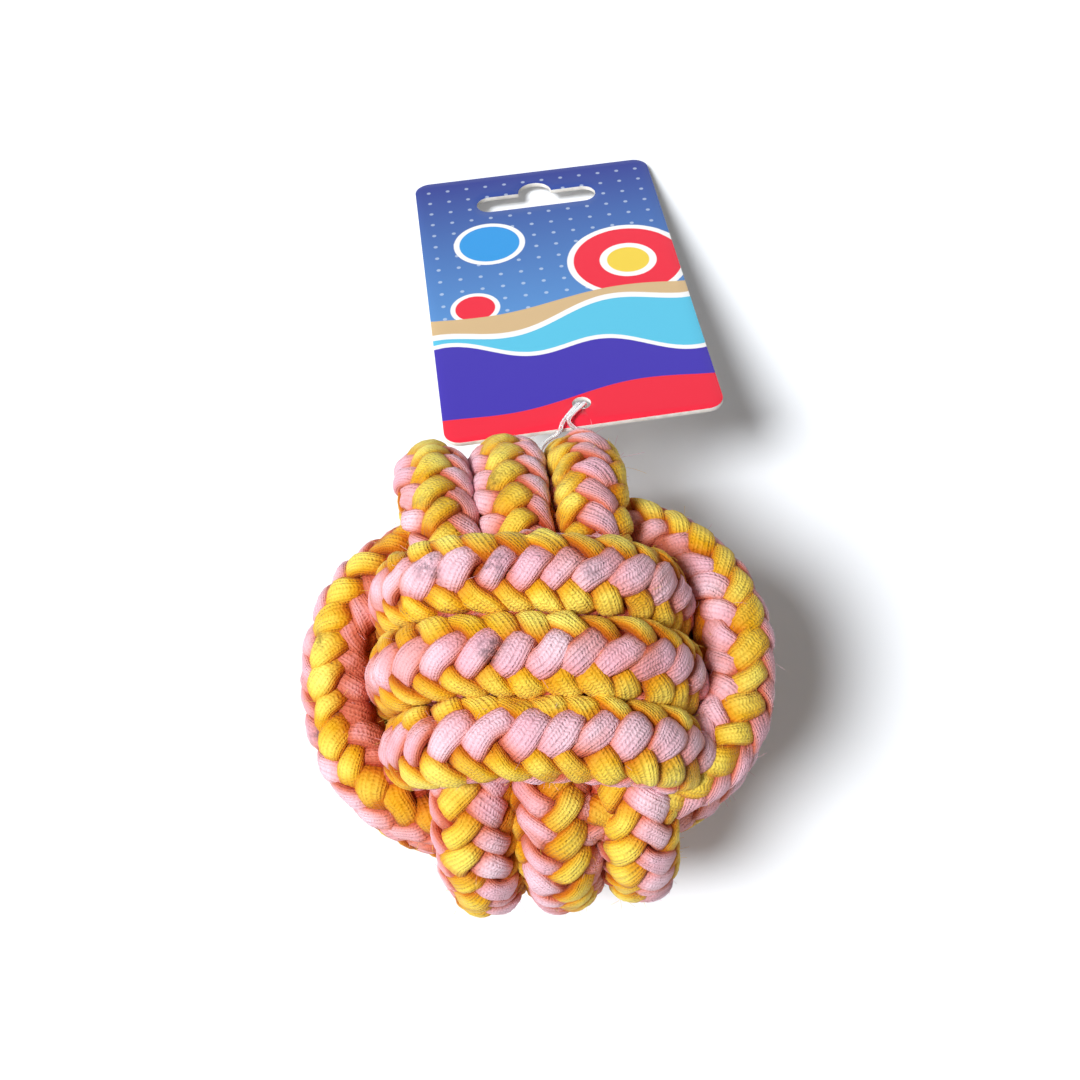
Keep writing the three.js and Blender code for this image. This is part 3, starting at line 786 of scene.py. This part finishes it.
# Printed card: laminated and glossy in front, a plain grey-white board behind and at its cut edges
TAG_DISCS = (
    # aside, far, radius in millimetres, colour
    (19, 52, 15.0, "#FFFFFF"), (19, 52, 13.4, "#F0253F"), (19, 52, 7.0, "#FFFFFF"), (19, 52, 5.2, "#F6D64A"),
    (-14, 66, 9.0, "#FFFFFF"), (-14, 66, 7.6, "#2E9BE6"),
    (-20, 40, 6.0, "#FFFFFF"), (-20, 40, 4.8, "#F0253F"),
)
PRINT_EDGE = 0.1  # half the width of a printed edge
GROUND_COLOURS = ("#5E9CDD", "#23358F")
GROUND_RANGE = (25.0, 95.0)  # distances far between which the first blue turns to the second
DOT_SPACING = 5.0  # small pale dots on the blue ground
DOT_RADIUS = 0.5
DOT_COLOUR = "#DCEBFA"
DOT_STRENGTH = 0.5
RIPPLE_MM = 12.5  # slow ripples of the laminate
RIPPLE_DEPTH_MM = 0.6
BOARD_SHADE = "#E2DFDA"
BOARD_FIBRE_MM = 1.4
BOARD_FIBRE_DEPTH_MM = 0.1
TAG_WAVES = (
    # height in millimetres, rise across, wave height, wave length, colour
    (39, 4, 1.8, 58, "#D9BA8C"), (34, 10, 3.0, 44, "#FFFFFF"), (32, 10, 3.0, 44, "#5CC8EA"),
    (22, -8, 2.6, 36, "#FFFFFF"), (20.5, -8, 2.6, 36, "#3F2FB0"),
    (3, 6, 1.6, 50, "#F0253F"),
)


def print_ground(tree, place, far):
    """Two blues blended by the distance far, with a dot in the middle of each cell of a square grid."""
    near_blue, far_blue = [linear(colour) for colour in GROUND_COLOURS]
    height = add_node(tree, "ShaderNodeMapRange", {0: far, 1: GROUND_RANGE[0], 2: GROUND_RANGE[1]})
    ground = add_node(tree, "ShaderNodeMix", {0: height.outputs[0], 6: near_blue, 7: far_blue},
                      data_type="RGBA")
    cell = (DOT_SPACING, DOT_SPACING, DOT_SPACING)
    dot_place = add_node(tree, "ShaderNodeVectorMath", {0: place, 1: cell, 2: (0, 0, 0)}, operation="WRAP")
    dot_middle = (DOT_SPACING / 2, DOT_SPACING / 2, 0)
    to_dot = add_node(tree, "ShaderNodeVectorMath", {0: dot_place.outputs[0], 1: dot_middle},
                      operation="DISTANCE")
    dot = add_node(tree, "ShaderNodeMapRange", {
        0: to_dot.outputs["Value"], 1: DOT_RADIUS - PRINT_EDGE, 2: DOT_RADIUS + PRINT_EDGE,
        3: DOT_STRENGTH, 4: 0.0,
    })
    dotted = add_node(tree, "ShaderNodeMix", {0: dot.outputs[0], 6: ground.outputs[2], 7: linear(DOT_COLOUR)},
                      data_type="RGBA")
    return dotted.outputs[2]


def print_discs(tree, place, colour):
    """A disc is where the distance from its middle is less than its radius."""
    for aside, far, radius, disc_colour in TAG_DISCS:
        away = add_node(tree, "ShaderNodeVectorMath", {0: place, 1: (aside, far, 0)}, operation="DISTANCE")
        inside = add_node(tree, "ShaderNodeMapRange", {
            0: away.outputs["Value"], 1: radius - PRINT_EDGE, 2: radius + PRINT_EDGE, 3: 1.0, 4: 0.0,
        })
        mixed = add_node(tree, "ShaderNodeMix", {0: inside.outputs[0], 6: colour, 7: linear(disc_colour)},
                         data_type="RGBA")
        colour = mixed.outputs[2]
    return colour


def print_waves(tree, aside, far, colour):
    """A wave is where far is less than a slanting line plus a sine of aside."""
    for level, rise, wave_height, wave_length, wave_colour in TAG_WAVES:
        turn = add_node(tree, "ShaderNodeMath", {0: aside, 1: 2 * math.pi / wave_length},
                        operation="MULTIPLY")
        wave = add_node(tree, "ShaderNodeMath", {0: turn.outputs[0]}, operation="SINE")
        slope = add_node(tree, "ShaderNodeMath", {0: aside, 1: rise / (2 * TAG_HALF_WIDTH), 2: level},
                         operation="MULTIPLY_ADD")
        edge = add_node(tree, "ShaderNodeMath", {0: wave.outputs[0], 1: wave_height, 2: slope.outputs[0]},
                        operation="MULTIPLY_ADD")
        below = add_node(tree, "ShaderNodeMath", {0: edge.outputs[0], 1: far}, operation="SUBTRACT")
        inside = add_node(tree, "ShaderNodeMapRange", {0: below.outputs[0], 1: -PRINT_EDGE, 2: PRINT_EDGE})
        mixed = add_node(tree, "ShaderNodeMix", {0: inside.outputs[0], 6: colour, 7: linear(wave_colour)},
                         data_type="RGBA")
        colour = mixed.outputs[2]
    return colour


def printed_card():
    """Print under a clear laminate: smooth and bright, with a soft gloss and slow ripples."""
    material, tree = new_material("laminated_printed_card")
    place = add_node(tree, "ShaderNodeUVMap", uv_map="surface_mm").outputs[0]
    split = add_node(tree, "ShaderNodeSeparateXYZ", {0: place})
    aside, far = split.outputs[0], split.outputs[1]
    colour = print_ground(tree, place, far)
    colour = print_discs(tree, place, colour)
    colour = print_waves(tree, aside, far, colour)
    ripple = add_node(tree, "ShaderNodeTexNoise", {"Vector": place, "Scale": 1 / RIPPLE_MM, "Detail": 2.0})
    bump = add_node(tree, "ShaderNodeBump",
                    {"Height": ripple.outputs[0], "Strength": 0.1, "Distance": RIPPLE_DEPTH_MM * MM})
    shader = add_node(tree, "ShaderNodeBsdfPrincipled", {
        "Base Color": colour, "Roughness": 0.42, "Normal": bump.outputs[0],
        "Specular IOR Level": 0.25, "Coat Weight": 0.12, "Coat Roughness": 0.15,
    })
    add_node(tree, "ShaderNodeOutputMaterial", {0: shader.outputs[0]})
    return material


def plain_board(name, colour):
    """Uncoated grey-white board: matt, with a faint paper fibre."""
    material, tree = new_material(name)
    where = add_node(tree, "ShaderNodeTexCoord").outputs["Object"]
    fibre = add_node(tree, "ShaderNodeTexNoise",
                     {"Vector": where, "Scale": noise_scale(BOARD_FIBRE_MM), "Detail": 4.0})
    shade = add_node(tree, "ShaderNodeMapRange", {0: fibre.outputs[0], 1: 0.3, 2: 0.7})
    tint = add_node(tree, "ShaderNodeMix", {0: shade.outputs[0], 6: linear(BOARD_SHADE), 7: linear(colour)},
                    data_type="RGBA")
    bump = add_node(tree, "ShaderNodeBump",
                    {"Height": fibre.outputs[0], "Strength": 0.2, "Distance": BOARD_FIBRE_DEPTH_MM * MM})
    shader = add_node(tree, "ShaderNodeBsdfPrincipled", {
        "Base Color": tint.outputs[2], "Roughness": 0.75, "Normal": bump.outputs[0],
    })
    add_node(tree, "ShaderNodeOutputMaterial", {0: shader.outputs[0]})
    return material


def add_tag():
    """The card bows back with the square of the distance aside, and its near left corner curls back.

    The curl is a power of the share to the left times the square of the share towards the near end.
    """
    spots, faces = card_faces()
    near_part = 1 - smoothstep(spots[:, 1], BOW_FADES[0] * TAG_REACH, BOW_FADES[1] * TAG_REACH)
    bow = CARD_BOW * near_part * (spots[:, 0] / TAG_HALF_WIDTH) ** 2
    left_share = np.maximum(-spots[:, 0], 0) / TAG_HALF_WIDTH
    near_share = (TAG_REACH - spots[:, 1]) / (TAG_REACH - TAG_NEAR)
    curl = CARD_CURL * left_share ** CURL_ASIDE_POWER * near_share ** CURL_NEAR_POWER
    points = on_tag(spots[:, 0], spots[:, 1], -bow - curl)
    uv = spots[faces].reshape(-1, 2)
    materials = [printed_card(), plain_board("card_back", "#F2F1EE"), plain_board("card_edge", "#F7F6F3")]
    tag = make_piece("printed_tag", points, faces.tolist(), materials, uv)
    wall = tag.modifiers.new("card thickness", "SOLIDIFY")
    wall.thickness = TAG_THICKNESS * MM
    wall.offset = 0
    wall.use_even_offset = True
    wall.material_offset = 1
    wall.material_offset_rim = 2
    edge = tag.modifiers.new("cut edge", "BEVEL")
    edge.width = CUT_EDGE * MM
    edge.segments = 2
    edge.limit_method = "ANGLE"
    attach(tag, "tag")
    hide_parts("hang_tag")


add_tag()


# The loop: two clear strands from the tag's hole to the channel in the rope, and a crossbar behind the tag
CARRIER_TURN = 0.75
CHANNEL_DEPTH = 2.5
STRAND_RADIUS = 0.475
STRAND_SPACING = 1.3
STRAND_FAR = -1.125
STRAND_FRONT = 1.475
CROSSBAR_FRONT = -1.9
CROSSBAR_RADIUS = 0.9
CROSSBAR_LENGTH = 6.4
CROSSBAR_RINGS = 25
CROSSBAR_TAPER = 0.75  # share by which the square of the radius is less at the ends
CROSSBAR_TAPER_POWER = 12
LOOP_RINGS = 160
LOOP_SIDES = 14
RING_SQUARE_TO = TAG_FRONT + 0.37 * TAG_FAR  # a direction from which the loop's rings are squared
# A strand on the tag: aside of its own line, far from the hole, in front of the card's middle
STRAND_ON_TAG = (
    (0, STRAND_FAR, CROSSBAR_FRONT), (0, STRAND_FAR, 0.5), (-0.2, STRAND_FAR - 0.4, STRAND_FRONT + 0.1),
    (-1.2, STRAND_FAR - 1.6, STRAND_FRONT + 0.3), (-4.4, TAG_NEAR, STRAND_FRONT + 0.2),
)
# The strand at the channel's two ends: aside of that end, out from the channel's floor, along the rope
LEFT_OF_ROPE = ((2.2, 4.7, 1.5), (-0.4, 3.3, 0.6), (-1.6, 1.4, 0.1), (-1, 0, 0), (0, 0, 0))
RIGHT_OF_ROPE = ((0, 0, 0), (1, 0, 0), (1.6, 1.4, 0.1), (0.2, 3.4, 0.5), (-3.6, 4.9, 1.4))
FLOW_MM = 3.3  # flow marks of the moulding
FLOW_DEPTH_MM = 0.1


def carrier_station():
    """Middle and directions of the rope turn that carries the loop, from two points close by on it."""
    winding = WINDINGS["lengthwise_wraps"]
    small_turn = 0.001
    behind, middle, ahead = rope_middle(winding, CARRIER_TURN + small_turn * np.array((-1, 0, 1)))
    tangent = unit(ahead - behind)
    outward = unit(np.cross(tangent, (1, 0, 0)))
    return middle, np.stack([np.cross(outward, tangent), outward, tangent])


def strand_on_tag(side):
    """Path points of the left (-1) or right (1) strand, from the crossbar to the card's near edge."""
    aside, far, front = np.array(STRAND_ON_TAG).T
    return on_tag(aside + side * STRAND_SPACING / 2, far, front)


def loop_points():
    """Path points from the crossbar along one strand, round the rope in its channel and back."""
    middle, directions = carrier_station()
    out = ROPE_RADIUS - CHANNEL_DEPTH
    half = SOLID_HALF_WIDTH * math.sqrt(1 - (out / ROPE_RADIUS) ** 2)
    left = np.array(LEFT_OF_ROPE) + (-half, out, 0)
    right = np.array(RIGHT_OF_ROPE) + (half, out, 0)
    round_rope = np.concatenate([left, right])
    return np.concatenate([strand_on_tag(-1), middle + round_rope @ directions, strand_on_tag(1)[::-1]])


def smooth_path(points, count):
    """A smooth curve through the points: blends of blends, with knots spaced by the root of the length."""
    points = np.concatenate([2 * points[:1] - points[1:2], points, 2 * points[-1:] - points[-2:-1]])
    gaps = np.sqrt(np.linalg.norm(np.diff(points, axis=0), axis=1))
    knots = np.concatenate([[0], np.cumsum(gaps)])
    place = np.linspace(knots[1], knots[-2], count)
    span = np.clip(np.searchsorted(knots, place, side="right") - 1, 1, len(points) - 3)
    knot = [knots[span + step] for step in (-1, 0, 1, 2)]
    level = [points[span + step] for step in (-1, 0, 1, 2)]

    def blend(first, second, start, end):
        share = ((place - start) / (end - start))[:, None]
        return (1 - share) * first + share * second

    pairs = [blend(level[i], level[i + 1], knot[i], knot[i + 1]) for i in range(3)]
    threes = [blend(pairs[i], pairs[i + 1], knot[i], knot[i + 2]) for i in range(2)]
    return blend(threes[0], threes[1], knot[1], knot[2])


def clear_plastic():
    """Moulded clear polypropylene: milky see-through with sharp small lights."""
    material, tree = new_material("clear_polypropylene")
    where = add_node(tree, "ShaderNodeTexCoord").outputs["Object"]
    flow = add_node(tree, "ShaderNodeTexNoise",
                    {"Vector": where, "Scale": noise_scale(FLOW_MM), "Detail": 2.0})
    bump = add_node(tree, "ShaderNodeBump",
                    {"Height": flow.outputs[0], "Strength": 0.15, "Distance": FLOW_DEPTH_MM * MM})
    shader = add_node(tree, "ShaderNodeBsdfPrincipled", {
        "Base Color": linear("#F4F6F7"), "Roughness": 0.18, "IOR": 1.49, "Transmission Weight": 0.75,
        "Normal": bump.outputs[0],
    })
    add_node(tree, "ShaderNodeOutputMaterial", {0: shader.outputs[0]})
    return material


def add_loop():
    """The strand is a round tube on a smooth path, and the crossbar a straight tube with rounded ends."""
    material = clear_plastic()
    path = smooth_path(loop_points(), LOOP_RINGS)
    rings = round_tubes(path, STRAND_RADIUS, RING_SQUARE_TO, LOOP_SIDES)
    faces = tube_faces(1, LOOP_RINGS, LOOP_SIDES)
    strand = make_piece("loop_strand", rings.reshape(-1, 3), faces, [material])
    reach = np.linspace(-1, 1, CROSSBAR_RINGS)
    bar_path = on_tag(reach * CROSSBAR_LENGTH / 2, STRAND_FAR, CROSSBAR_FRONT)
    bar_radii = CROSSBAR_RADIUS * np.sqrt(1 - CROSSBAR_TAPER * np.abs(reach) ** CROSSBAR_TAPER_POWER)
    bar_rings = round_tubes(bar_path, bar_radii[:, None, None], RING_SQUARE_TO, LOOP_SIDES)
    bar_faces = tube_faces(1, CROSSBAR_RINGS, LOOP_SIDES)
    bar = make_piece("loop_crossbar", bar_rings.reshape(-1, 3), bar_faces, [material])
    for piece in (strand, bar):
        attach(piece, "loop")
        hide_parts("tag_loop")


add_loop()


# Floor, sky and lamps: white sweep, soft key light from the upper left, weak fill low on the left
AMBIENT = 0.11
LAMPS = {
    # strength, direction that it comes from, angle across it in degrees
    "key": (3.4, (-0.48, -0.2, 1), 18),
    "fill": (0.8, (-1, -0.15, 0.45), 70),
}
FLOOR_REACH = 3000
FLOOR_BOUNCE = "#E6E6E6"  # colour of the paper for the light that it throws back
FLOOR_SEEN = (0.86, 0.895, 0.94, 1)  # a little cool, to even out the warm light off the rope
FLOOR_GLOW = 0.08  # lifts the paper to white where it is lit


def seen_directly(tree):
    """1 for the eye, for gloss and through clear plastic, 0 for other light: the largest of the three."""
    path = add_node(tree, "ShaderNodeLightPath")
    eye_or_gloss = add_node(tree, "ShaderNodeMath", {
        0: path.outputs["Is Camera Ray"], 1: path.outputs["Is Glossy Ray"],
    }, operation="MAXIMUM")
    seen = add_node(tree, "ShaderNodeMath", {
        0: eye_or_gloss.outputs[0], 1: path.outputs["Is Transmission Ray"],
    }, operation="MAXIMUM")
    return seen.outputs[0]


def add_floor():
    """White paper that keeps the shadow, with a faint glow where it is seen directly."""
    material, tree = new_material("white_paper_sweep")
    seen = seen_directly(tree)
    colour = add_node(tree, "ShaderNodeMix", {0: seen, 6: linear(FLOOR_BOUNCE), 7: FLOOR_SEEN},
                      data_type="RGBA")
    paper = add_node(tree, "ShaderNodeBsdfDiffuse", {"Color": colour.outputs[2]})
    glow_level = add_node(tree, "ShaderNodeMath", {0: seen, 1: FLOOR_GLOW}, operation="MULTIPLY")
    glow = add_node(tree, "ShaderNodeEmission", {"Strength": glow_level.outputs[0]})
    shader = add_node(tree, "ShaderNodeAddShader", {0: paper.outputs[0], 1: glow.outputs[0]})
    add_node(tree, "ShaderNodeOutputMaterial", {0: shader.outputs[0]})
    signs = np.array(((-1, -1, 0), (1, -1, 0), (1, 1, 0), (-1, 1, 0)))
    corners = FLOOR_REACH * signs
    make_piece("floor", corners, [(0, 1, 2, 3)], [material])


def add_sky():
    """White to the eye, to gloss and through clear plastic; a plain level of soft light for the rest."""
    world = bpy.data.worlds.new("studio")
    world.use_nodes = True
    tree = world.node_tree
    tree.nodes.clear()
    level = add_node(tree, "ShaderNodeMapRange", {0: seen_directly(tree), 3: AMBIENT, 4: 1.0})
    sky = add_node(tree, "ShaderNodeBackground", {"Color": (1, 1, 1, 1), "Strength": level.outputs[0]})
    add_node(tree, "ShaderNodeOutputWorld", {0: sky.outputs[0]})
    bpy.context.scene.world = world


def add_lamp(name, strength, comes_from, softness):
    """A sun lamp that shines from a direction; its softness is the angle across it in degrees."""
    data = bpy.data.lights.new(name, "SUN")
    data.energy = strength
    data.angle = math.radians(softness)
    lamp = bpy.data.objects.new(name, data)
    lamp.rotation_mode = "QUATERNION"
    lamp.rotation_quaternion = Vector(comes_from).to_track_quat("Z", "Y")
    bpy.context.collection.objects.link(lamp)


add_floor()
add_sky()
for lamp_name, lamp_settings in LAMPS.items():
    add_lamp(lamp_name, *lamp_settings)
